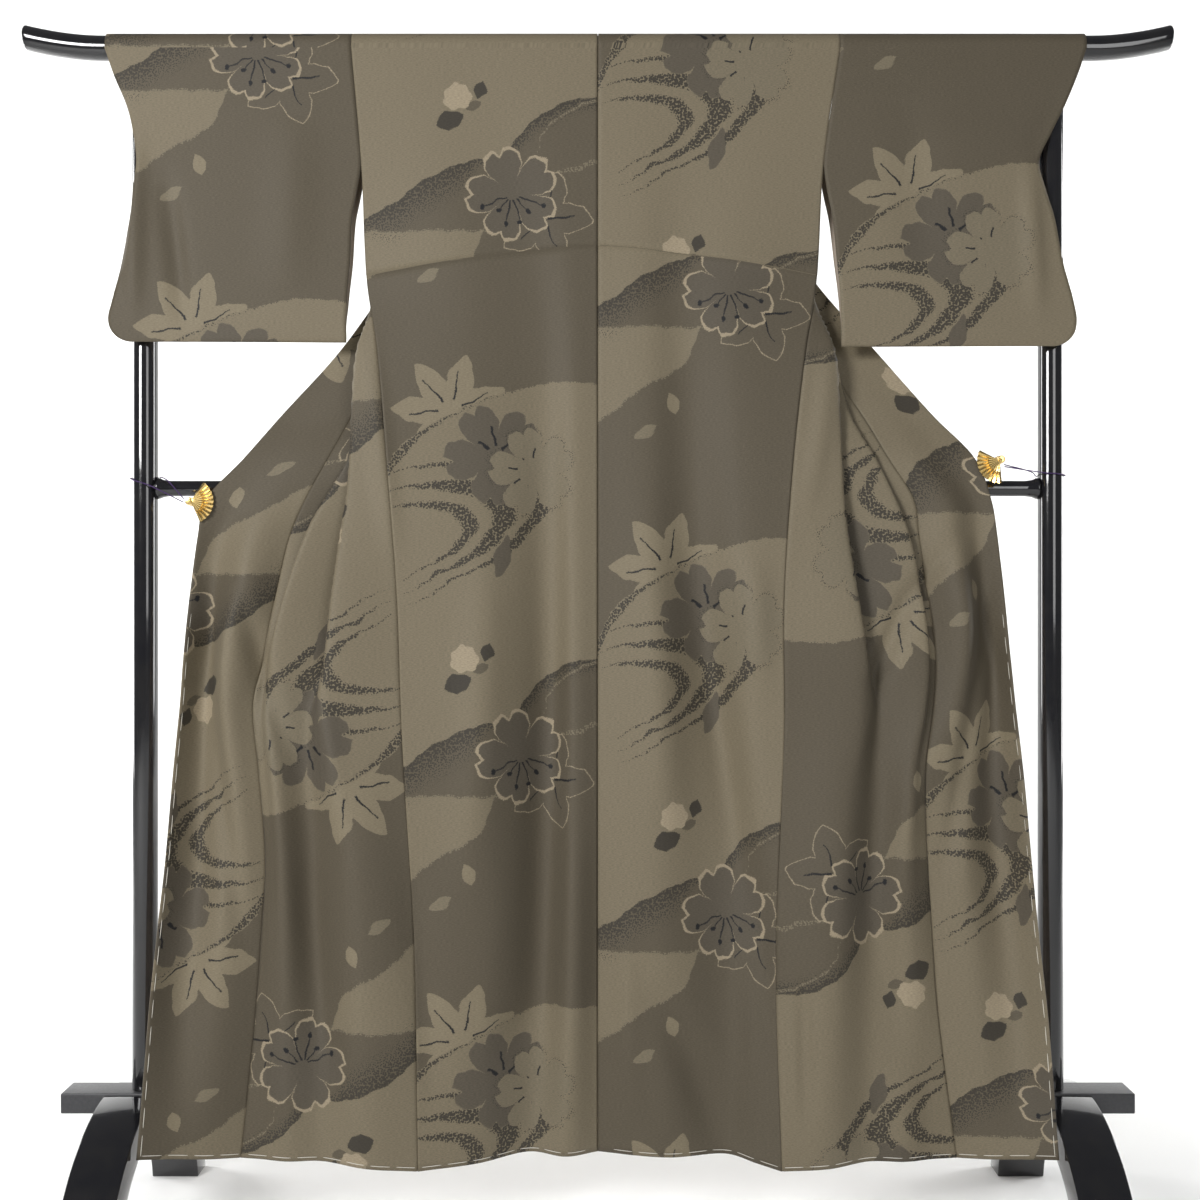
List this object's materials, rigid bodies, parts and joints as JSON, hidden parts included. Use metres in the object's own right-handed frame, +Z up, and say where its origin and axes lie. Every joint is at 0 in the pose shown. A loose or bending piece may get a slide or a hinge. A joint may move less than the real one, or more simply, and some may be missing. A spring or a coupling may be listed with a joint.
{
  "type": "silk kimono on a display stand",
  "caption": "Lined silk kimono hung back outwards on a black lacquered stand, its fronts drawn out to the sides by fan-shaped clips tied to the posts.",
  "frame": {"origin": "on the floor, below the middle of the rail", "axes": "+X along the rail, +Y away from the side that the garment's back faces, +Z up"},
  "size_m": [1.6084, 0.4648, 1.6877],
  "materials": {
    "face_silk": "crepe-woven taupe silk with tone-on-tone flowers and streams",
    "lining_silk": "plain brown silk lining",
    "basting_thread": "white cotton basting thread",
    "black_lacquer": "high-gloss black lacquer",
    "satin_black": "satin black paint",
    "gilt_metal": "polished gilt",
    "purple_cord": "thin purple cord"
  },
  "bodies": {
    "root": {"body_left": "face_silk", "body_right": "face_silk", "overlap_left": "face_silk", "overlap_right": "face_silk", "sleeve_left": "face_silk", "sleeve_right": "face_silk", "collar": "face_silk", "over_collar": "face_silk", "rail": "black_lacquer", "post_left": "black_lacquer", "post_right": "black_lacquer", "cross_rail": "black_lacquer", "block_left": "satin_black", "block_right": "satin_black", "foot_left": "black_lacquer", "foot_right": "black_lacquer", "fan_left": "gilt_metal", "fan_right": "gilt_metal", "hinge_left": "gilt_metal", "hinge_right": "gilt_metal", "leaf_left": "gilt_metal", "leaf_right": "gilt_metal", "tie_left": "purple_cord", "tie_right": "purple_cord"}
  },
  "joints": []
}
